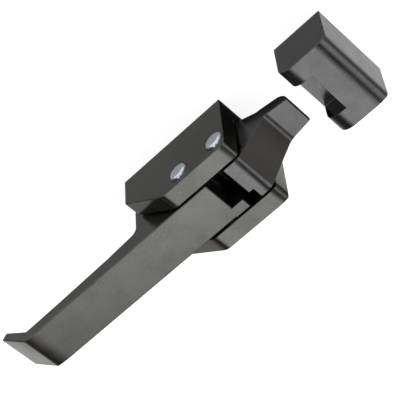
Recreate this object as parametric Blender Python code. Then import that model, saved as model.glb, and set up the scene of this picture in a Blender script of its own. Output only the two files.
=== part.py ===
"""Slam latch with a pull lever and a separate keeper, built as separate metal pieces.

All sizes below are millimetres in the latch's own frame: x = 0 is the housing end that faces
the keeper, +x points towards the keeper, +y is the side with the pin heads, and z = 0 is the
plane the housing and the keeper are mounted on. SHIFT_X and SHIFT_Y then centre the part.
"""

import math

import bmesh
import bpy
from mathutils import Matrix, Vector

MM = 0.001
SHIFT_X = 41.61
SHIFT_Y = -0.65

# ---- housing ----
HOUSING_LENGTH = 53.2
HOUSING_HALF_WIDTH = 18.0
HOUSING_DEPTH = 33.5
CHEEK_INNER_Y = 10.5
RIM_START_X = -33.3
NEAR_END_Z = 15.9
END_WALL = 5.5
WELL_START_X = -46.5
SILL_TOP = 7.9
PLATE_RECESS = 2.2
PLATE_HALF_WIDTH = 10.0
INSERT_PLACES = ((-44.0, 14.4), (-44.0, -14.4), (-12.0, 14.4), (-12.0, -14.4))
SCREW_PLACES = (-49.1, -2.9)
END_ROLL = (
    (0.00, 4.30),
    (0.03, 3.30),
    (0.08, 2.40),
    (0.15, 1.60),
    (0.22, 1.10),
    (0.31, 0.86),
    (0.42, 0.70),
    (0.72, 0.57),
    (1.14, 0.42),
    (1.61, 0.31),
    (2.55, 0.15),
    (3.52, 0.04),
    (4.70, 0.00),
)

# ---- pins ----
PIVOT_X = -23.7
GUIDE_X = -4.66
PIN_Z = 26.7
PIVOT_RADIUS = 3.0
GUIDE_RADIUS = 1.6
HEAD_RADIUS = 4.1

# ---- lever ----
LEVER_HALF_WIDTH = 9.4
LEVER_END_X = -18.3
FOLD_ROLL = ((-113.5, 0.0), (-116.0, 0.06), (-118.3, 0.20), (-120.2, 0.44), (-121.6, 0.78))
SPUR_END_X = -12.8
SPUR_INNER_Y = -5.2
CRANK = 9.7
SWING_DEG = 22.0

# ---- bolt ----
BOLT_TRAVEL = 3.7
BOLT_BACK_X = -9.2
BOLT_UNDERSIDE = 8.4
CREST_ROLL = (
    (-4.60, 0.00),
    (-3.90, 0.02),
    (-3.03, 0.11),
    (-2.37, 0.23),
    (-1.78, 0.38),
    (-1.20, 0.59),
    (-0.83, 0.76),
    (-0.52, 0.95),
    (-0.20, 1.20),
    (0.05, 1.46),
)
NOSE_HOLLOW = (
    (11.75, 18.19),
    (12.05, 17.90),
    (12.30, 17.74),
    (12.60, 17.60),
    (12.95, 17.47),
    (13.50, 17.33),
    (13.90, 17.26),
    (14.40, 17.21),
    (15.00, 17.19),
)
TAIL_TOP = 11.8
TAIL_END_X = -28.0
ROLLER_RADIUS = 2.5
SLOT_PLAY = 0.3

# ---- springs ----
SPRING_Y = 6.0
SPRING_Z = 5.4
SPRING_RADIUS = 2.05
SPRING_WIRE = 0.45
SPRING_TURNS = 12

# ---- keeper ----
KEEPER_NEAR_X = 29.5
KEEPER_FAR_X = 52.9
KEEPER_DEPTH = 22.5
KEEPER_SLOT_Y = 9.8
KEEPER_FLOOR = 10.3
KEEPER_WALL_X = 38.4
POCKET_TOP = 18.2
POCKET_END_X = 46.0
KEEPER_ROLL = (
    (0.00, 3.90),
    (0.04, 2.90),
    (0.09, 2.40),
    (0.18, 1.97),
    (0.30, 1.66),
    (0.43, 1.45),
    (0.58, 1.28),
    (0.75, 1.15),
    (1.00, 0.99),
    (1.40, 0.81),
    (1.90, 0.62),
    (2.50, 0.44),
    (3.10, 0.30),
    (3.55, 0.21),
    (4.60, 0.08),
    (6.40, 0.00),
)


def clear_scene():
    """Remove every object that is already in the scene."""
    for item in list(bpy.data.objects):
        bpy.data.objects.remove(item, do_unlink=True)


def material(name, colour, roughness, metallic):
    """Return a Principled material."""
    mat = bpy.data.materials.new(name)
    mat.use_nodes = True
    shader = mat.node_tree.nodes["Principled BSDF"]
    shader.inputs["Base Color"].default_value = (*colour, 1.0)
    shader.inputs["Roughness"].default_value = roughness
    shader.inputs["Metallic"].default_value = metallic
    return mat


def link_mesh(name, bm, origin=(0.0, 0.0, 0.0)):
    """Turn a bmesh in millimetres into a placed object whose origin is `origin`."""
    bmesh.ops.recalc_face_normals(bm, faces=bm.faces)
    bmesh.ops.translate(bm, verts=bm.verts, vec=-Vector(origin))
    bmesh.ops.scale(bm, verts=bm.verts, vec=(MM, MM, MM))
    mesh = bpy.data.meshes.new(name)
    bm.to_mesh(mesh)
    bm.free()
    obj = bpy.data.objects.new(name, mesh)
    place = Vector((origin[0] + SHIFT_X, origin[1] + SHIFT_Y, origin[2]))
    obj.location = place * MM
    bpy.context.scene.collection.objects.link(obj)
    return obj


def arc_points(corner, before, after, radius, steps=5):
    """Return an arc of that radius across a corner; before and after are unit directions."""
    half = before.angle(after) / 2.0
    reach = radius / math.tan(half)
    centre = corner + (before + after).normalized() * (radius / math.sin(half))
    start = corner + before * reach - centre
    end = corner + after * reach - centre
    points = []
    for step in range(steps + 1):
        spoke = start.lerp(end, step / steps).normalized() * radius
        points.append((centre.x + spoke.x, centre.y + spoke.y))
    return points


def eased_points(start, corner, end, pull, steps=12):
    """Return a curve that leaves both sides gently; pull near 1 keeps it close to the corner."""
    first = start.lerp(corner, pull)
    second = end.lerp(corner, pull)
    points = []
    for step in range(steps + 1):
        t = step / steps
        u = 1.0 - t
        place = start * u**3 + first * (3.0 * u * u * t) + second * (3.0 * u * t * t)
        place += end * t**3
        points.append((place.x, place.y))
    return points


def rounded(points):
    """Return a closed outline. A corner is (u, v, radius) or (u, v, before, after, pull)."""
    outline = []
    count = len(points)
    for index, point in enumerate(points):
        corner = Vector(point[:2])
        before = (Vector(points[index - 1][:2]) - corner).normalized()
        after = (Vector(points[(index + 1) % count][:2]) - corner).normalized()
        if len(point) == 5:
            start = corner + before * point[2]
            end = corner + after * point[3]
            outline += eased_points(start, corner, end, point[4])
        elif point[2] > 0.0:
            outline += arc_points(corner, before, after, point[2])
        else:
            outline.append((corner.x, corner.y))
    return outline


def prism(name, outline, low, high, across="y", origin=(0.0, 0.0, 0.0)):
    """Extrude an outline: (x, z) pairs across y, or (x, y) pairs across z."""
    bm = bmesh.new()
    if across == "y":
        low_ring = [bm.verts.new((u, low, v)) for u, v in outline]
        high_ring = [bm.verts.new((u, high, v)) for u, v in outline]
    else:
        low_ring = [bm.verts.new((u, v, low)) for u, v in outline]
        high_ring = [bm.verts.new((u, v, high)) for u, v in outline]
    bm.faces.new(low_ring)
    bm.faces.new(high_ring)
    count = len(outline)
    for index in range(count):
        nxt = (index + 1) % count
        bm.faces.new((low_ring[index], low_ring[nxt], high_ring[nxt], high_ring[index]))
    return link_mesh(name, bm, origin)


def block(name, x_span, y_span, z_span, origin=(0.0, 0.0, 0.0)):
    """Make a plain box from its three spans."""
    outline = [
        (x_span[0], z_span[0]),
        (x_span[1], z_span[0]),
        (x_span[1], z_span[1]),
        (x_span[0], z_span[1]),
    ]
    return prism(name, outline, y_span[0], y_span[1], "y", origin)


def turned(name, profile, centre, axis, segments=40, origin=(0.0, 0.0, 0.0)):
    """Revolve a closed profile of (radius, distance along the axis) about `axis`."""
    bm = bmesh.new()
    turn = {
        "x": Matrix.Rotation(math.radians(90.0), 3, "Y"),
        "y": Matrix.Rotation(math.radians(-90.0), 3, "X"),
        "z": Matrix.Identity(3),
    }[axis]
    rings = []
    for radius, along in profile:
        if radius == 0.0:
            rings.append([bm.verts.new(turn @ Vector((0.0, 0.0, along)) + Vector(centre))])
            continue
        ring = []
        for step in range(segments):
            angle = 2.0 * math.pi * step / segments
            local = Vector((radius * math.cos(angle), radius * math.sin(angle), along))
            ring.append(bm.verts.new(turn @ local + Vector(centre)))
        rings.append(ring)
    closed = profile[0][0] > 0.0
    pairs = len(rings) if closed else len(rings) - 1
    for index in range(pairs):
        first = rings[index]
        second = rings[(index + 1) % len(rings)]
        for step in range(segments):
            nxt = (step + 1) % segments
            corners = [first[step % len(first)], first[nxt % len(first)]]
            corners += [second[nxt % len(second)], second[step % len(second)]]
            unique = list(dict.fromkeys(corners))
            bm.faces.new(unique)
    return link_mesh(name, bm, origin)


def disc(name, radius, low, high, centre, axis, segments=40, origin=(0.0, 0.0, 0.0)):
    """Make a plain cylinder, used for cutters and for simple rods."""
    profile = [(0.0, low), (radius, low), (radius, high), (0.0, high)]
    return turned(name, profile, centre, axis, segments, origin)


def combine(target, tool, operation):
    """Add an exact boolean of `tool` to `target` and hide the tool."""
    tool.hide_render = True
    tool.display_type = "WIRE"
    tool.parent = target
    tool.matrix_parent_inverse = Matrix.Translation(-target.location)
    modifier = target.modifiers.new(tool.name, "BOOLEAN")
    modifier.operation = operation
    modifier.solver = "EXACT"
    modifier.object = tool


def soften(obj, width, segments=2, limit_deg=40.0):
    """Round the edges that are sharper than the limit angle."""
    modifier = obj.modifiers.new("soft_edges", "BEVEL")
    modifier.width = width * MM
    modifier.segments = segments
    modifier.limit_method = "ANGLE"
    modifier.angle_limit = math.radians(limit_deg)


def finish(obj, mat, smooth=False):
    """Give the object its material and, for round pieces, smooth shading."""
    obj.data.materials.append(mat)
    if smooth:
        obj.data.shade_smooth()
        obj.data.set_sharp_from_angle(angle=math.radians(35.0))


def make_materials():
    """Return the materials, one for each sub-part."""
    coat = (0.075, 0.078, 0.074)
    plated = (0.72, 0.73, 0.75)
    steel = (0.42, 0.42, 0.43)
    looks = {
        "housing": (coat, 0.42, 0.55),
        "lever_handle": (coat, 0.40, 0.55),
        "latch_bolt": (coat, 0.41, 0.55),
        "keeper": (coat, 0.43, 0.55),
        "lever_pivot_pin": (plated, 0.22, 1.0),
        "bolt_guide_pin": (plated, 0.22, 1.0),
        "pin_retaining_ring": (steel, 0.35, 1.0),
        "lever_bush": ((0.78, 0.76, 0.70), 0.50, 0.0),
        "drive_roller": (steel, 0.30, 1.0),
        "drive_pin": (plated, 0.25, 1.0),
        "bolt_spring": (steel, 0.32, 1.0),
        "spring_guide_rod": (plated, 0.28, 1.0),
        "back_plate": (steel, 0.45, 1.0),
        "back_plate_screw": (plated, 0.30, 1.0),
        "lever_stop_pad": ((0.03, 0.03, 0.03), 0.85, 0.0),
        "mount_insert": (steel, 0.35, 1.0),
        "keeper_insert": (steel, 0.35, 1.0),
        "keeper_wear_strip": (plated, 0.35, 1.0),
    }
    return {name: material(name, *look) for name, look in looks.items()}


def build_housing(mat):
    """Die-cast body: two cheeks joined by a low wall at each end, open at the back."""
    roll_off = [(-back, HOUSING_DEPTH - drop, 0.0) for back, drop in END_ROLL]
    outline = rounded([
        (-HOUSING_LENGTH, 0.0, 0.3),
        (0.0, 0.0, 0.3),
        *roll_off,
        (RIM_START_X, HOUSING_DEPTH, 2.3, 3.9, 0.88),
        (-HOUSING_LENGTH, NEAR_END_Z, 0.4),
    ])
    housing = prism("housing", outline, -HOUSING_HALF_WIDTH, HOUSING_HALF_WIDTH)
    soften(housing, 0.35)
    inner = (-CHEEK_INNER_Y, CHEEK_INNER_Y)
    channel = block("housing_channel", (-60.0, 4.0), inner, (SILL_TOP, 40.0))
    combine(housing, channel, "DIFFERENCE")
    under = (-PLATE_HALF_WIDTH, PLATE_HALF_WIDTH)
    well = block("housing_well", (WELL_START_X, -END_WALL), under, (-2.0, 9.0))
    combine(housing, well, "DIFFERENCE")
    recess = block("housing_recess", (-51.0, -1.0), (-10.2, 10.2), (-2.0, PLATE_RECESS))
    combine(housing, recess, "DIFFERENCE")
    for label, x, shaft in (("pivot", PIVOT_X, PIVOT_RADIUS), ("guide", GUIDE_X, GUIDE_RADIUS)):
        centre = (x, 0.0, PIN_Z)
        bore = disc(f"housing_{label}_bore", shaft + 0.3, -20.0, 20.0, centre, "y")
        combine(housing, bore, "DIFFERENCE")
        seat = disc(f"housing_{label}_seat", HEAD_RADIUS + 0.3, 16.3, 20.0, centre, "y", 48)
        combine(housing, seat, "DIFFERENCE")
        pocket = disc(f"housing_{label}_pocket", shaft + 1.8, -20.0, -15.4, centre, "y", 48)
        combine(housing, pocket, "DIFFERENCE")
    for index, (x, y) in enumerate(INSERT_PLACES, 1):
        hole = disc(f"housing_insert_hole_{index}", 3.3, -2.0, 10.6, (x, y, 0.0), "z", 32)
        combine(housing, hole, "DIFFERENCE")
    for index, x in enumerate(SCREW_PLACES, 1):
        hole = disc(f"housing_screw_hole_{index}", 1.25, 0.0, 7.0, (x, 0.0, 0.0), "z", 24)
        combine(housing, hole, "DIFFERENCE")
    for index, y in enumerate((-SPRING_Y, SPRING_Y), 1):
        socket = disc(f"housing_rod_socket_{index}", 1.4, -50.5, -45.0, (0.0, y, SPRING_Z), "x", 24)
        combine(housing, socket, "DIFFERENCE")
    finish(housing, mat)
    return housing


def crank_point():
    """Return where the drive roller sits when the lever is down."""
    lean = math.radians(SWING_DEG / 2.0)
    return PIVOT_X + CRANK * math.sin(lean), PIN_Z - CRANK * math.cos(lean)


def arm_outline(half_width):
    """Return the outline of the crank arm, round at its lower end."""
    end_x, end_z = crank_point()
    along = Vector((end_x - PIVOT_X, end_z - PIN_Z)).normalized()
    side = Vector((-along.y, along.x))
    start = Vector((PIVOT_X, PIN_Z)) + along * 5.2
    outline = [tuple(start - side * half_width), tuple(start + side * half_width)]
    for step in range(13):
        angle = math.pi * step / 12.0
        spoke = side * math.cos(angle) + along * math.sin(angle)
        outline.append((end_x + spoke.x * half_width, end_z + spoke.y * half_width))
    return outline


def build_lever(mat, pivot):
    """Pull lever with its turned-in lip, thick root, side spur and forked crank arm."""
    roll_off = [(x, HOUSING_DEPTH - drop, 0.0) for x, drop in FOLD_ROLL]
    outline = rounded([
        (LEVER_END_X, HOUSING_DEPTH, 0.5),
        *roll_off,
        (-136.4, 18.1, 0.7),
        (-133.9, 15.4, 0.7),
        (-120.9, 26.6, 2.5),
        (-100.0, 26.1, 0.0),
        (-73.0, 25.0, 0.0),
        (-60.5, 23.7, 0.0),
        (-56.4, 23.4, 3.0),
        (-56.4, 9.0, 1.5),
        (-48.0, 9.0, 1.0),
        (-44.0, 14.0, 1.0),
        (-37.0, 20.5, 2.0),
        (-24.0, 20.0, 3.0),
        (LEVER_END_X, 23.0, 1.5),
    ])
    lever = prism("lever_handle", outline, -LEVER_HALF_WIDTH, LEVER_HALF_WIDTH, "y", pivot)
    soften(lever, 0.5, 2, 50.0)
    spur_z = (27.0, HOUSING_DEPTH)
    spur = block("lever_spur", (-20.0, SPUR_END_X), (-LEVER_HALF_WIDTH, SPUR_INNER_Y), spur_z)
    combine(lever, spur, "UNION")
    for index, (low, high) in enumerate(((-6.2, -3.2), (3.2, 6.2)), 1):
        arm = prism(f"lever_arm_{index}", arm_outline(3.1), low, high)
        combine(lever, arm, "UNION")
    bore = disc("lever_bore", 4.6, -12.0, 12.0, (PIVOT_X, 0.0, PIN_Z), "y")
    combine(lever, bore, "DIFFERENCE")
    end_x, end_z = crank_point()
    eye = disc("lever_drive_eye", 1.8, -8.0, 8.0, (end_x, 0.0, end_z), "y", 24)
    combine(lever, eye, "DIFFERENCE")
    hollow_outline = rounded([
        (-115.5, 20.0, 0.0),
        (-115.5, 30.2, 1.5),
        (-65.0, 29.2, 1.5),
        (-65.0, 20.0, 0.0),
    ])
    hollow = prism("lever_hollow", hollow_outline, -6.6, 6.6)
    soften(hollow, 1.2, 2)
    combine(lever, hollow, "DIFFERENCE")
    finish(lever, mat)
    return lever


def build_bolt(mat):
    """Spring bolt: block between the cheeks, sloping nose, and a tail under the lever."""
    outline = rounded([
        (BOLT_BACK_X, HOUSING_DEPTH, 0.5),
        *[(x, HOUSING_DEPTH - drop, 0.0) for x, drop in CREST_ROLL],
        *[(x, z, 0.0) for x, z in NOSE_HOLLOW],
        (23.6, 16.8, 0.3),
        (23.6, 11.0, 4.8),
        (9.5, 11.1, 4.0),
        (3.0, 8.9, 3.0),
        (0.0, BOLT_UNDERSIDE, 0.0),
        (TAIL_END_X, BOLT_UNDERSIDE, 0.4),
        (TAIL_END_X, TAIL_TOP, 0.4),
        (BOLT_BACK_X, TAIL_TOP, 1.5),
    ])
    bolt = prism("latch_bolt", outline, -LEVER_HALF_WIDTH, LEVER_HALF_WIDTH)
    half_widths = ((-1.3, 9.4), (2.0, 9.0), (4.6, 8.7), (6.9, 8.45), (9.6, 8.2), (12.9, 7.9),
                   (15.8, 7.5), (24.5, 6.5))
    plan = [(-40.0, 9.4)] + list(half_widths)
    plan += [(x, -y) for x, y in reversed(half_widths)] + [(-40.0, -9.4)]
    shape = prism("bolt_plan", plan, 0.0, 40.0, "z")
    combine(bolt, shape, "INTERSECT")
    soften(bolt, 0.3, 2, 50.0)
    end_x = crank_point()[0]
    reach = ROLLER_RADIUS + SLOT_PLAY
    for index, (low, high) in enumerate(((end_x + reach, end_x + reach + 3.0),
                                         (end_x - reach - 3.0, end_x - reach)), 1):
        lug = block(f"bolt_lug_{index}", (low, high), (-2.9, 2.9), (TAIL_TOP - 1.0, 18.6))
        combine(bolt, lug, "UNION")
    push = block("bolt_push_lug", (-18.0, -15.0), (-8.9, 8.9), (2.7, BOLT_UNDERSIDE + 1.0))
    combine(bolt, push, "UNION")
    slot_outline = []
    wide = GUIDE_RADIUS + SLOT_PLAY
    for middle_x, first in ((GUIDE_X, 0.5), (GUIDE_X + BOLT_TRAVEL, -0.5)):
        for step in range(25):
            angle = math.pi * (first + step / 24.0)
            place = (middle_x + wide * math.cos(angle), PIN_Z + wide * math.sin(angle))
            slot_outline.append(place)
    slot = prism("bolt_pin_slot", slot_outline, -12.0, 12.0)
    combine(bolt, slot, "DIFFERENCE")
    relief = prism("bolt_relief", [
        (-12.0, 21.0),
        (-9.6, 21.4),
        (-7.9, 26.2),
        (-6.6, 29.3),
        (-6.6, 36.0),
        (-12.0, 36.0),
    ], -12.0, SPUR_INNER_Y + 0.5)
    combine(bolt, relief, "DIFFERENCE")
    finish(bolt, mat)
    return bolt


def build_pins(mats):
    """Two headed pins through the cheeks, each held by a spring ring on the far side."""
    rows = (
        ("lever_pivot_pin", PIVOT_X, PIVOT_RADIUS),
        ("bolt_guide_pin", GUIDE_X, GUIDE_RADIUS),
    )
    for index, (name, x, shaft) in enumerate(rows, 1):
        groove = shaft - 0.6
        profile = [
            (0.0, -17.4),
            (shaft - 0.4, -17.4),
            (shaft, -17.0),
            (shaft, -16.9),
            (groove, -16.9),
            (groove, -15.7),
            (shaft, -15.7),
            (shaft, 16.6),
            (HEAD_RADIUS, 16.6),
            (HEAD_RADIUS, 18.2),
            (HEAD_RADIUS - 0.10, 18.55),
            (HEAD_RADIUS - 0.35, 18.87),
            (HEAD_RADIUS - 0.75, 19.10),
            (HEAD_RADIUS - 1.30, 19.24),
            (0.0, 19.3),
        ]
        pin = turned(name, profile, (x, 0.0, PIN_Z), "y", 48)
        finish(pin, mats[name], True)
        build_ring(f"pin_retaining_ring_{index}", x, groove + 0.05, mats["pin_retaining_ring"])


def build_ring(name, x, inner, mat):
    """Open spring ring that sits in a pin's groove."""
    outer = inner + 1.9
    count = 36
    span = math.radians(300.0)
    outline = []
    for step in range(count + 1):
        angle = math.radians(120.0) + span * step / count
        outline.append((x + outer * math.cos(angle), PIN_Z + outer * math.sin(angle)))
    for step in range(count, -1, -1):
        angle = math.radians(120.0) + span * step / count
        outline.append((x + inner * math.cos(angle), PIN_Z + inner * math.sin(angle)))
    finish(prism(name, outline, -16.7, -15.9), mat)


def build_lever_fittings(mats, pivot):
    """Bushes in the lever's bore, and the roller and pin at the end of its crank."""
    lean = (PIVOT_X, 0.0, PIN_Z)
    for index, (low, high) in enumerate(((-9.3, -3.0), (3.0, 9.3)), 1):
        profile = [(3.1, low), (4.5, low), (4.5, high), (3.1, high)]
        bush = turned(f"lever_bush_{index}", profile, lean, "y", 40, pivot)
        finish(bush, mats["lever_bush"], True)
    end_x, end_z = crank_point()
    tube = [(1.6, -2.7), (ROLLER_RADIUS, -2.7), (ROLLER_RADIUS, 2.7), (1.6, 2.7)]
    roller = turned("drive_roller", tube, (end_x, 0.0, end_z), "y", 32, pivot)
    finish(roller, mats["drive_roller"], True)
    pin = disc("drive_pin", 1.5, -6.1, 6.1, (end_x, 0.0, end_z), "y", 24, pivot)
    finish(pin, mats["drive_pin"], True)


def build_spring(name, y, start_x, end_x, mat):
    """Round-wire compression spring along x, with flat closed ends."""
    around = 14
    sides = 6
    steps = SPRING_TURNS * around
    bm = bmesh.new()
    rings = []
    for step in range(steps + 1):
        share = step / steps
        angle = 2.0 * math.pi * SPRING_TURNS * share
        x = start_x + SPRING_WIRE + (end_x - start_x - 2.0 * SPRING_WIRE) * share
        outward = Vector((0.0, math.cos(angle), math.sin(angle)))
        middle = Vector((x, y, SPRING_Z)) + outward * SPRING_RADIUS
        ring = []
        for side in range(sides):
            turn = 2.0 * math.pi * side / sides
            offset = outward * math.cos(turn) + Vector((1.0, 0.0, 0.0)) * math.sin(turn)
            ring.append(bm.verts.new(middle + offset * SPRING_WIRE))
        rings.append(ring)
    for first, second in zip(rings, rings[1:]):
        for side in range(sides):
            nxt = (side + 1) % sides
            bm.faces.new((first[side], first[nxt], second[nxt], second[side]))
    bm.faces.new(rings[0])
    bm.faces.new(rings[-1])
    finish(link_mesh(name, bm), mat, True)


def build_springs(mats):
    """Two springs that push the bolt out, each round its own guide rod."""
    for index, y in enumerate((-SPRING_Y, SPRING_Y), 1):
        build_spring(f"bolt_spring_{index}", y, -46.3, -18.2, mats["bolt_spring"])
        profile = [(0.0, -50.3), (1.1, -50.3), (1.1, -24.6), (0.7, -24.0), (0.0, -24.0)]
        rod = turned(f"spring_guide_rod_{index}", profile, (0.0, y, SPRING_Z), "x", 24)
        finish(rod, mats["spring_guide_rod"], True)


def build_back(mats):
    """Back plate, its two countersunk screws, the threaded inserts and the lever's stop pad."""
    across = (-PLATE_HALF_WIDTH, PLATE_HALF_WIDTH)
    plate = block("back_plate", (-50.8, -1.2), across, (0.1, 1.9))
    soften(plate, 0.2)
    for index, x in enumerate(SCREW_PLACES, 1):
        sink = turned(f"plate_sink_{index}", [
            (0.0, -1.0),
            (2.05, -1.0),
            (2.05, 0.5),
            (1.3, 1.4),
            (1.3, 3.0),
            (0.0, 3.0),
        ], (x, 0.0, 0.0), "z", 32)
        combine(plate, sink, "DIFFERENCE")
        screw = turned(f"back_plate_screw_{index}", [
            (0.0, 0.9),
            (0.6, 0.9),
            (0.6, 0.2),
            (1.8, 0.2),
            (1.8, 0.5),
            (1.0, 1.35),
            (1.0, 6.6),
            (0.0, 6.6),
        ], (x, 0.0, 0.0), "z", 32)
        finish(screw, mats["back_plate_screw"], True)
    finish(plate, mats["back_plate"])
    tube = [(2.1, 0.15), (3.0, 0.15), (3.0, 10.0), (2.1, 10.0)]
    for index, (x, y) in enumerate(INSERT_PLACES, 1):
        insert = turned(f"mount_insert_{index}", tube, (x, y, 0.0), "z", 32)
        finish(insert, mats["mount_insert"], True)
    pad = block("lever_stop_pad", (-51.4, -48.6), (-7.0, 7.0), (SILL_TOP + 0.05, 8.7))
    soften(pad, 0.2)
    finish(pad, mats["lever_stop_pad"])


def build_keeper(mats):
    """Keeper block: two posts, a pocket behind its front wall, a wear strip and inserts."""
    roll_off = [(KEEPER_FAR_X - back, KEEPER_DEPTH - drop, 0.0) for back, drop in KEEPER_ROLL]
    outline = rounded([
        (KEEPER_NEAR_X, 0.0, 0.3),
        (KEEPER_FAR_X, 0.0, 0.3),
        *roll_off,
        (KEEPER_NEAR_X, KEEPER_DEPTH, 7.1, 5.4, 0.57),
    ])
    keeper = prism("keeper", outline, -HOUSING_HALF_WIDTH, HOUSING_HALF_WIDTH)
    soften(keeper, 0.4)
    pocket = prism("keeper_pocket", [
        (KEEPER_NEAR_X - 2.0, KEEPER_FLOOR),
        (POCKET_END_X, KEEPER_FLOOR),
        (POCKET_END_X, POCKET_TOP),
        (KEEPER_WALL_X, POCKET_TOP),
        (KEEPER_WALL_X, KEEPER_DEPTH + 2.0),
        (KEEPER_NEAR_X - 2.0, KEEPER_DEPTH + 2.0),
    ], -KEEPER_SLOT_Y, KEEPER_SLOT_Y)
    combine(keeper, pocket, "DIFFERENCE")
    tube = [(2.1, 0.15), (3.0, 0.15), (3.0, 10.0), (2.1, 10.0)]
    for index, y in enumerate((-14.0, 14.0), 1):
        place = (41.2, y, 0.0)
        hole = disc(f"keeper_insert_hole_{index}", 3.3, -2.0, 10.6, place, "z", 32)
        combine(keeper, hole, "DIFFERENCE")
        insert = turned(f"keeper_insert_{index}", tube, place, "z", 32)
        finish(insert, mats["keeper_insert"], True)
    finish(keeper, mats["keeper"])
    strip = block("keeper_wear_strip", (39.0, 45.6), (-9.4, 9.4), (17.3, POCKET_TOP - 0.05))
    soften(strip, 0.15)
    finish(strip, mats["keeper_wear_strip"])


def main():
    """Build every piece."""
    clear_scene()
    mats = make_materials()
    pivot = (PIVOT_X, 0.0, PIN_Z)
    build_housing(mats["housing"])
    build_lever(mats["lever_handle"], pivot)
    build_bolt(mats["latch_bolt"])
    build_pins(mats)
    build_lever_fittings(mats, pivot)
    build_springs(mats)
    build_back(mats)
    build_keeper(mats)


main()
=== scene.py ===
"""Looks, floor, light and camera for the slam latch with its separate keeper."""

import math

import bpy
from mathutils import Matrix, Vector

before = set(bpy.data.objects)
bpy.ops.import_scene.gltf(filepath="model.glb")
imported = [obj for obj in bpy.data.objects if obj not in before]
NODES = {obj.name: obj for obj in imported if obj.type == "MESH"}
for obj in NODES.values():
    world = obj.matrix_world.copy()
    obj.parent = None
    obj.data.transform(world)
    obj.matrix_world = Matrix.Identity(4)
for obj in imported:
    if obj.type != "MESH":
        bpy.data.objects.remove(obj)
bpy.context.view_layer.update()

MM = 0.001

# ---- camera, in metres in the CAD frame ----
CAMERA_PLACE = (0.21875, 0.24483, 0.50889)
CAMERA_RIGHT = (0.70884, -0.70334, 0.05343)
CAMERA_UP = (0.61024, 0.57349, -0.54655)
CAMERA_LENS = 134.2
CAMERA_SENSOR = 36.0

# ---- metal coat on the castings ----
WARM_DARK = (0.098, 0.099, 0.092)
WARM_LIGHT = (0.120, 0.121, 0.112)
PLAIN_DARK = (0.098, 0.099, 0.098)
PLAIN_LIGHT = (0.116, 0.117, 0.116)
SPECK_LIFT = 1.09
SPECK_SHARE = 0.6
# painted highlight: a lighter colour mixed in along edges, in patches
EDGE_HIGHLIGHT_COLOUR = (0.34, 0.34, 0.33)
EDGE_HIGHLIGHT_SHARE = 0.35
COAT_METALLIC = 0.95
COAT_ROUGHNESS = 0.20
LEVER_HALF_WIDTH_MM = 9.4

# ---- smoothing: corners joined within millimetres, edges sharp from degrees ----
JOIN_WITHIN = 0.002
SHARP_FROM = 50.0

# ---- studio seen by the metal: (degrees round Y from straight up, brightness) ----
PANELS = (
    (-180.0, 0.95),
    (-160.0, 1.00),
    (-147.0, 1.20),
    (-130.0, 0.95),
    (-121.0, 0.85),
    (-102.0, 0.38),
    (-92.0, 0.25),
    (-75.0, 0.12),
    (-55.0, 0.05),
    (-43.0, 0.13),
    (-38.0, 0.38),
    (-34.0, 0.78),
    (-31.0, 1.12),
    (-27.0, 1.50),
    (-22.0, 1.90),
    (-15.5, 2.02),
    (-12.5, 1.80),
    (-9.0, 0.90),
    (-5.0, 0.25),
    (-1.0, 0.05),
    (4.0, 0.05),
    (9.0, 0.30),
    (18.0, 1.25),
    (26.0, 1.25),
    (33.0, 0.72),
    (43.0, 0.34),
    (76.0, 0.41),
    (100.0, 0.45),
    (118.0, 0.65),
    (137.0, 0.85),
    (157.0, 0.76),
    (180.0, 0.95),
)
PANEL_STRENGTH = 2.2
SIDE_SHARE = 0.29
SIDE_LEAN = 0.35
SIDE_SOFTNESS = 0.15
TOP_SIDE_LEVEL = 0.90
TOP_SIDE_START = 0.55
TOP_SIDE_FULL = 0.80
WARMTH = 0.16
WARM_BELOW = 0.7
BLUE_LOSS = 1.6
SEEN_BEHIND = (0.93, 0.93, 0.93, 1.0)

# ---- floor and black cards: reach and drops in metres, and colours ----
FLOOR_REACH = 4.0
FLOOR_DROP = 0.0002
FLOOR_COLOUR = (0.40, 0.40, 0.40, 1.0)
FLOOR_GLOW = 0.85
CARD_DROP = 0.0001
CARD_COLOUR = (0.012, 0.009, 0.008, 1.0)


def new_material(name):
    """Return an empty node material with its Principled shader and its node tree."""
    mat = bpy.data.materials.new(name)
    mat.use_nodes = True
    tree = mat.node_tree
    return mat, tree, tree.nodes["Principled BSDF"]


def noise(tree, size_mm, detail=3.0, roughness=0.5):
    """Return the value of a noise whose features are about size_mm across."""
    place = tree.nodes.new("ShaderNodeTexCoord")
    texture = tree.nodes.new("ShaderNodeTexNoise")
    texture.inputs["Scale"].default_value = 1.0 / (size_mm * MM)
    texture.inputs["Detail"].default_value = detail
    texture.inputs["Roughness"].default_value = roughness
    tree.links.new(place.outputs["Object"], texture.inputs["Vector"])
    return texture.outputs["Fac"]


def remap(tree, value, low, high, to_low, to_high):
    """Return value moved from the range low..high to to_low..to_high, held at its ends."""
    node = tree.nodes.new("ShaderNodeMapRange")
    node.interpolation_type = "SMOOTHSTEP"
    for name, number in (
        ("From Min", low),
        ("From Max", high),
        ("To Min", to_low),
        ("To Max", to_high),
    ):
        node.inputs[name].default_value = number
    tree.links.new(value, node.inputs["Value"])
    return node.outputs["Result"]


def blend_colour(tree, factor, first, second):
    """Return a colour between first and second, which are colours or sockets."""
    node = tree.nodes.new("ShaderNodeMix")
    node.data_type = "RGBA"
    tree.links.new(factor, node.inputs["Factor"])
    sockets = [socket for socket in node.inputs if socket.type == "RGBA"]
    for socket, colour in zip(sockets, (first, second)):
        if isinstance(colour, tuple):
            socket.default_value = (*colour, 1.0)
        else:
            tree.links.new(colour, socket)
    return [socket for socket in node.outputs if socket.type == "RGBA"][0]


def maths(tree, operation, first, second):
    """Return one Math node's result; each side is a number or a socket."""
    node = tree.nodes.new("ShaderNodeMath")
    node.operation = operation
    for index, side in enumerate((first, second)):
        if isinstance(side, (int, float)):
            node.inputs[index].default_value = side
        else:
            tree.links.new(side, node.inputs[index])
    return node.outputs["Value"]


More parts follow.
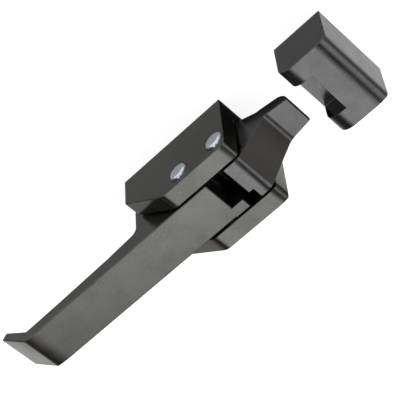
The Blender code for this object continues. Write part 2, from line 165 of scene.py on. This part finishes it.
def bump(tree, height, depth_mm, strength, after=None):
    """Return a normal roughened by height."""
    node = tree.nodes.new("ShaderNodeBump")
    node.inputs["Strength"].default_value = strength
    node.inputs["Distance"].default_value = depth_mm * MM
    tree.links.new(height, node.inputs["Height"])
    if after is not None:
        tree.links.new(after, node.inputs["Normal"])
    return node.outputs["Normal"]


def eased_edges(tree, radius_mm):
    """Return a normal that turns gently over every edge, within radius_mm of it."""
    rounded = tree.nodes.new("ShaderNodeBevel")
    rounded.samples = 6
    rounded.inputs["Radius"].default_value = radius_mm * MM
    return rounded.outputs["Normal"]


def edge_mask(tree, radius_mm):
    """Return 1 on sharp edges and 0 on flats, from how far a rounded normal leans away."""
    geometry = tree.nodes.new("ShaderNodeNewGeometry")
    dot = tree.nodes.new("ShaderNodeVectorMath")
    dot.operation = "DOT_PRODUCT"
    tree.links.new(eased_edges(tree, radius_mm), dot.inputs[0])
    tree.links.new(geometry.outputs["Normal"], dot.inputs[1])
    return remap(tree, dot.outputs["Value"], 0.80, 0.99, 1.0, 0.0)


def across(tree, tone, reach_mm, lean):
    """Return tone with painted light and shade across the width: a little lighter towards +Y
    and darker towards -Y.
    """
    place = tree.nodes.new("ShaderNodeTexCoord")
    split = tree.nodes.new("ShaderNodeSeparateXYZ")
    tree.links.new(place.outputs["Object"], split.inputs["Vector"])
    reach = reach_mm * MM
    share = remap(tree, split.outputs["Y"], -reach, reach, 1.0 - lean, 1.0 + lean)
    scaled = tree.nodes.new("ShaderNodeVectorMath")
    scaled.operation = "SCALE"
    tree.links.new(tone, scaled.inputs["Vector"])
    tree.links.new(share, scaled.inputs["Scale"])
    return scaled.outputs["Vector"]


def coat(name, dark=WARM_DARK, light=WARM_LIGHT, lean=0.0):
    """Satin dark grey coat on a casting: cloudy tone, fine grain, a painted highlight in
    lighter patches along the edges, which are also rubbed smoother.
    """
    mat, tree, shader = new_material(name)
    clouds = remap(tree, noise(tree, 14.0, 4.0), 0.35, 0.65, 0.0, 1.0)
    tone = blend_colour(tree, clouds, dark, light)
    specks = remap(tree, noise(tree, 0.9, 4.0, 0.7), 0.35, 0.65, 0.0, 1.0)
    speckled = tuple(c * SPECK_LIFT for c in light)
    tone = blend_colour(tree, maths(tree, "MULTIPLY", specks, SPECK_SHARE), tone, speckled)
    # painted light and shade across the width: lighter towards +Y, darker towards -Y,
    # wherever lean is given
    tone = across(tree, tone, LEVER_HALF_WIDTH_MM, lean)
    # painted highlight: edges lightened in patches; the same mask also makes the edges a
    # little smoother
    edges = edge_mask(tree, 0.5)
    edge_patches = remap(tree, noise(tree, 1.6, 5.0, 0.65), 0.48, 0.62, 0.0, 1.0)
    highlight_and_rub = maths(tree, "MULTIPLY", maths(tree, "MULTIPLY", edges, edge_patches), EDGE_HIGHLIGHT_SHARE)
    tone = blend_colour(tree, highlight_and_rub, tone, EDGE_HIGHLIGHT_COLOUR)
    tree.links.new(tone, shader.inputs["Base Color"])
    shader.inputs["Metallic"].default_value = COAT_METALLIC
    smoother = COAT_ROUGHNESS - 0.03
    rougher = COAT_ROUGHNESS + 0.04
    patches = remap(tree, noise(tree, 6.0, 5.0), 0.3, 0.7, smoother, rougher)
    rough = maths(tree, "SUBTRACT", patches, maths(tree, "MULTIPLY", highlight_and_rub, 0.2))
    tree.links.new(rough, shader.inputs["Roughness"])
    peel = bump(tree, noise(tree, 1.3, 2.0), 0.012, 0.35, eased_edges(tree, 0.3))
    grain = bump(tree, noise(tree, 0.32, 3.0), 0.006, 0.8, peel)
    tree.links.new(grain, shader.inputs["Normal"])
    return mat


def bright_metal(name, colour, roughness, across_mm=0.5, metallic=1.0):
    """Plated or plain steel: fine crystals in tone and roughness and a little unevenness."""
    mat, tree, shader = new_material(name)
    crystals = remap(tree, noise(tree, across_mm, 4.0, 0.6), 0.35, 0.65, 0.0, 1.0)
    darker = tuple(c * 0.82 for c in colour)
    tree.links.new(blend_colour(tree, crystals, darker, colour), shader.inputs["Base Color"])
    shader.inputs["Metallic"].default_value = metallic
    streaks = remap(tree, noise(tree, 2.2, 6.0), 0.3, 0.7, roughness - 0.05, roughness + 0.08)
    tree.links.new(streaks, shader.inputs["Roughness"])
    dents = bump(tree, noise(tree, across_mm * 2.0, 3.0), 0.02, 0.4)
    tree.links.new(dents, shader.inputs["Normal"])
    return mat


def moulded(name, colour, roughness, grain_mm):
    """Plastic or rubber with a dull moulded grain."""
    mat, tree, shader = new_material(name)
    mottle = remap(tree, noise(tree, 3.0, 4.0), 0.3, 0.7, 0.0, 1.0)
    darker = tuple(c * 0.8 for c in colour)
    tree.links.new(blend_colour(tree, mottle, darker, colour), shader.inputs["Base Color"])
    patches = remap(tree, noise(tree, 1.0, 4.0), 0.3, 0.7, roughness - 0.06, roughness + 0.06)
    tree.links.new(patches, shader.inputs["Roughness"])
    tree.links.new(bump(tree, noise(tree, grain_mm, 3.0), 0.02, 0.5), shader.inputs["Normal"])
    return mat


def smoothing_group():
    """Return geometry nodes that join split corners and shade gentle angles smoothly."""
    group = bpy.data.node_groups.new("smooth_gentle_angles", "GeometryNodeTree")
    group.interface.new_socket("Geometry", in_out="INPUT", socket_type="NodeSocketGeometry")
    group.interface.new_socket("Geometry", in_out="OUTPUT", socket_type="NodeSocketGeometry")
    start = group.nodes.new("NodeGroupInput")
    end = group.nodes.new("NodeGroupOutput")
    merge = group.nodes.new("GeometryNodeMergeByDistance")
    merge.inputs["Distance"].default_value = JOIN_WITHIN * MM
    shade = group.nodes.new("GeometryNodeSetShadeSmooth")
    normal = group.nodes.new("GeometryNodeSetMeshNormal")
    normal.mode = "SHARPNESS"
    normal.inputs["Remove Custom"].default_value = True
    angle = group.nodes.new("GeometryNodeInputMeshEdgeAngle")
    sharp = group.nodes.new("FunctionNodeCompare")
    sharp.data_type = "FLOAT"
    sharp.operation = "GREATER_THAN"
    sharp.inputs["B"].default_value = math.radians(SHARP_FROM)
    link = group.links.new
    link(start.outputs["Geometry"], merge.inputs["Geometry"])
    link(merge.outputs["Geometry"], shade.inputs["Geometry"])
    link(shade.outputs["Geometry"], normal.inputs["Mesh"])
    link(angle.outputs["Unsigned Angle"], sharp.inputs["A"])
    link(sharp.outputs["Result"], normal.inputs["Edge Sharpness"])
    link(normal.outputs["Mesh"], end.inputs["Geometry"])
    return group


def smooth_nodes():
    """Give every CAD node soft shading on its round faces and crisp flats."""
    group = smoothing_group()
    for node in NODES.values():
        modifier = node.modifiers.new("smooth_gentle_angles", "NODES")
        modifier.node_group = group
        weighted = node.modifiers.new("flat_faces_stay_flat", "WEIGHTED_NORMAL")
        weighted.keep_sharp = True
        weighted.weight = 90


def paint_nodes():
    """Give every CAD node its material."""
    zinc = (0.92, 0.96, 1.00)
    head_zinc = (0.78, 0.85, 0.95)
    steel = (0.46, 0.46, 0.47)
    looks = {
        "housing": coat("housing_coat"),
        # the lever coat carries painted light and shade across its width
        "lever_handle": coat("lever_coat", lean=0.08),
        "latch_bolt": coat("bolt_coat", PLAIN_DARK, PLAIN_LIGHT),
        "keeper": coat("keeper_coat", PLAIN_DARK, PLAIN_LIGHT),
        "lever_pivot_pin": bright_metal("pivot_pin_zinc", head_zinc, 0.17, 0.5, 0.92),
        "bolt_guide_pin": bright_metal("guide_pin_zinc", head_zinc, 0.17, 0.5, 0.92),
        "pin_retaining_ring": bright_metal("spring_steel", steel, 0.33),
        "lever_bush": moulded("bush_plastic", (0.74, 0.72, 0.66), 0.50, 0.3),
        "drive_roller": bright_metal("roller_steel", steel, 0.28),
        "drive_pin": bright_metal("drive_pin_zinc", zinc, 0.24),
        "bolt_spring": bright_metal("spring_wire", steel, 0.30, 0.3),
        "spring_guide_rod": bright_metal("guide_rod_zinc", zinc, 0.26),
        "back_plate": bright_metal("back_plate_steel", (0.55, 0.54, 0.50), 0.40, 1.2),
        "back_plate_screw": bright_metal("screw_zinc", zinc, 0.28, 0.3),
        "mount_insert": bright_metal("insert_steel", steel, 0.34, 0.4),
        "lever_stop_pad": moulded("pad_rubber", (0.030, 0.030, 0.032), 0.82, 0.4),
        "keeper_insert": bright_metal("keeper_insert_steel", steel, 0.34, 0.4),
        "keeper_wear_strip": bright_metal("wear_strip_steel", (0.60, 0.60, 0.61), 0.34, 0.8),
    }
    for name, node in NODES.items():
        stem = name.rstrip("0123456789").rstrip("_")
        node.data.materials.clear()
        node.data.materials.append(looks[stem])


def make_floor():
    """Plain pale floor just under the part."""
    mesh = bpy.data.meshes.new("floor")
    signs = ((-1.0, -1.0), (1.0, -1.0), (1.0, 1.0), (-1.0, 1.0))
    corners = [(x * FLOOR_REACH, y * FLOOR_REACH, 0.0) for x, y in signs]
    mesh.from_pydata(corners, [], [(0, 1, 2, 3)])
    floor = bpy.data.objects.new("floor", mesh)
    floor.location.z = -FLOOR_DROP
    bpy.context.scene.collection.objects.link(floor)
    mat, _, shader = new_material("pale_floor")
    shader.inputs["Base Color"].default_value = FLOOR_COLOUR
    shader.inputs["Roughness"].default_value = 0.9
    shader.inputs["Emission Color"].default_value = (1.0, 1.0, 1.0, 1.0)
    shader.inputs["Emission Strength"].default_value = FLOOR_GLOW
    mesh.materials.append(mat)
    floor.visible_glossy = False


def make_card(name, x_span, y_span):
    """Black card flat on the floor that only reflections see, as painted shade in the metal's
    reflections; sizes are millimetres.
    """
    mesh = bpy.data.meshes.new(name)
    (x_low, x_high), (y_low, y_high) = x_span, y_span
    corners = [(x_low, y_low), (x_high, y_low), (x_high, y_high), (x_low, y_high)]
    mesh.from_pydata([(x * MM, y * MM, 0.0) for x, y in corners], [], [(0, 1, 2, 3)])
    card = bpy.data.objects.new(name, mesh)
    card.location.z = -CARD_DROP
    bpy.context.scene.collection.objects.link(card)
    mat, _, shader = new_material(name)
    shader.inputs["Base Color"].default_value = CARD_COLOUR
    shader.inputs["Roughness"].default_value = 1.0
    shader.inputs["Specular IOR Level"].default_value = 0.0
    mesh.materials.append(mat)
    for ray in ("camera", "diffuse", "shadow", "transmission", "volume_scatter"):
        setattr(card, f"visible_{ray}", False)


def direction_ramp(tree, angle):
    """Return the studio's colour round the part; its dim stretches are a little warmer."""
    ramp = tree.nodes.new("ShaderNodeValToRGB")
    ramp.color_ramp.interpolation = "EASE"
    share = maths(tree, "ADD", maths(tree, "DIVIDE", angle, 2.0 * math.pi), 0.5)
    tree.links.new(share, ramp.inputs["Fac"])
    elements = ramp.color_ramp.elements
    while len(elements) > 1:
        elements.remove(elements[-1])
    for index, (degrees, brightness) in enumerate(PANELS):
        place = degrees / 360.0 + 0.5
        stop = elements[0] if index == 0 else elements.new(place)
        stop.position = place
        level = brightness / PANEL_STRENGTH
        warmth = WARMTH * max(0.0, 1.0 - brightness / WARM_BELOW)
        green = level * (1.0 - warmth)
        blue = level * (1.0 - BLUE_LOSS * warmth)
        stop.color = (level, green, blue, 1.0)
    return ramp.outputs["Color"]


def make_world():
    """Soft studio: pale to the eye, and panels and dark gaps as the metal reflects them."""
    world = bpy.data.worlds.new("studio")
    bpy.context.scene.world = world
    world.use_nodes = True
    tree = world.node_tree
    tree.nodes.clear()
    place = tree.nodes.new("ShaderNodeTexCoord")
    split = tree.nodes.new("ShaderNodeSeparateXYZ")
    tree.links.new(place.outputs["Generated"], split.inputs["Vector"])
    round_y = maths(tree, "ARCTAN2", split.outputs["X"], split.outputs["Z"])
    panels = direction_ramp(tree, round_y)
    lifted = maths(tree, "MULTIPLY", split.outputs["Z"], SIDE_LEAN)
    sideways = maths(tree, "SUBTRACT", split.outputs["Y"], lifted)
    side = remap(tree, sideways, -SIDE_SOFTNESS, SIDE_SOFTNESS, 1.0, SIDE_SHARE)
    top_side = remap(tree, split.outputs["Y"], TOP_SIDE_START, TOP_SIDE_FULL, 0.0, 1.0)
    level = tree.nodes.new("ShaderNodeMix")
    level.data_type = "RGBA"
    level.blend_type = "MULTIPLY"
    level.inputs["Factor"].default_value = 1.0
    colours = [socket for socket in level.inputs if socket.type == "RGBA"]
    tree.links.new(panels, colours[0])
    tree.links.new(side, colours[1])
    shaded = [socket for socket in level.outputs if socket.type == "RGBA"][0]
    even = (TOP_SIDE_LEVEL / PANEL_STRENGTH,) * 3
    reflected = tree.nodes.new("ShaderNodeBackground")
    colour = blend_colour(tree, top_side, shaded, even)
    tree.links.new(colour, reflected.inputs["Color"])
    reflected.inputs["Strength"].default_value = PANEL_STRENGTH
    seen = tree.nodes.new("ShaderNodeBackground")
    seen.inputs["Color"].default_value = SEEN_BEHIND
    path = tree.nodes.new("ShaderNodeLightPath")
    mix = tree.nodes.new("ShaderNodeMixShader")
    tree.links.new(path.outputs["Is Camera Ray"], mix.inputs["Fac"])
    tree.links.new(reflected.outputs["Background"], mix.inputs[1])
    tree.links.new(seen.outputs["Background"], mix.inputs[2])
    out = tree.nodes.new("ShaderNodeOutputWorld")
    tree.links.new(mix.outputs["Shader"], out.inputs["Surface"])


def make_lamp(name, place, power, size):
    """Square soft lamp that points at the middle of the part."""
    lamp = bpy.data.lights.new(name, "AREA")
    lamp.energy = power
    lamp.size = size
    obj = bpy.data.objects.new(name, lamp)
    obj.location = place
    aim = Vector((0.0, 0.0, 0.01)) - Vector(place)
    obj.rotation_euler = aim.to_track_quat("-Z", "Y").to_euler()
    obj.visible_camera = False
    obj.visible_glossy = False
    bpy.context.scene.collection.objects.link(obj)


def make_camera():
    """Camera at the viewing angle, aimed by its right and up directions."""
    data = bpy.data.cameras.new("camera")
    data.lens = CAMERA_LENS
    data.sensor_width = CAMERA_SENSOR
    data.clip_start = 0.05
    data.clip_end = 20.0
    camera = bpy.data.objects.new("camera", data)
    right = Vector(CAMERA_RIGHT).normalized()
    back = right.cross(Vector(CAMERA_UP)).normalized()
    up = back.cross(right)
    turn = Matrix((right, up, back)).transposed()
    camera.matrix_world = Matrix.Translation(CAMERA_PLACE) @ turn.to_4x4()
    bpy.context.scene.collection.objects.link(camera)
    bpy.context.scene.camera = camera


bpy.context.scene.view_settings.view_transform = "Standard"
smooth_nodes()
paint_nodes()
make_floor()
# black cards as painted shade: the metal reflects them in place of the floor, under the bolt
# and beside the keeper
make_card("shade_card_under_bolt", x_span=(41.9, 71.5), y_span=(-17.6, 16.4))
make_card("shade_card_beside_keeper", x_span=(53.6, 71.5), y_span=(-60.0, -17.6))
make_world()
make_lamp("key_lamp", place=(0.5, -0.7, 0.9), power=9.0, size=0.9)
make_camera()
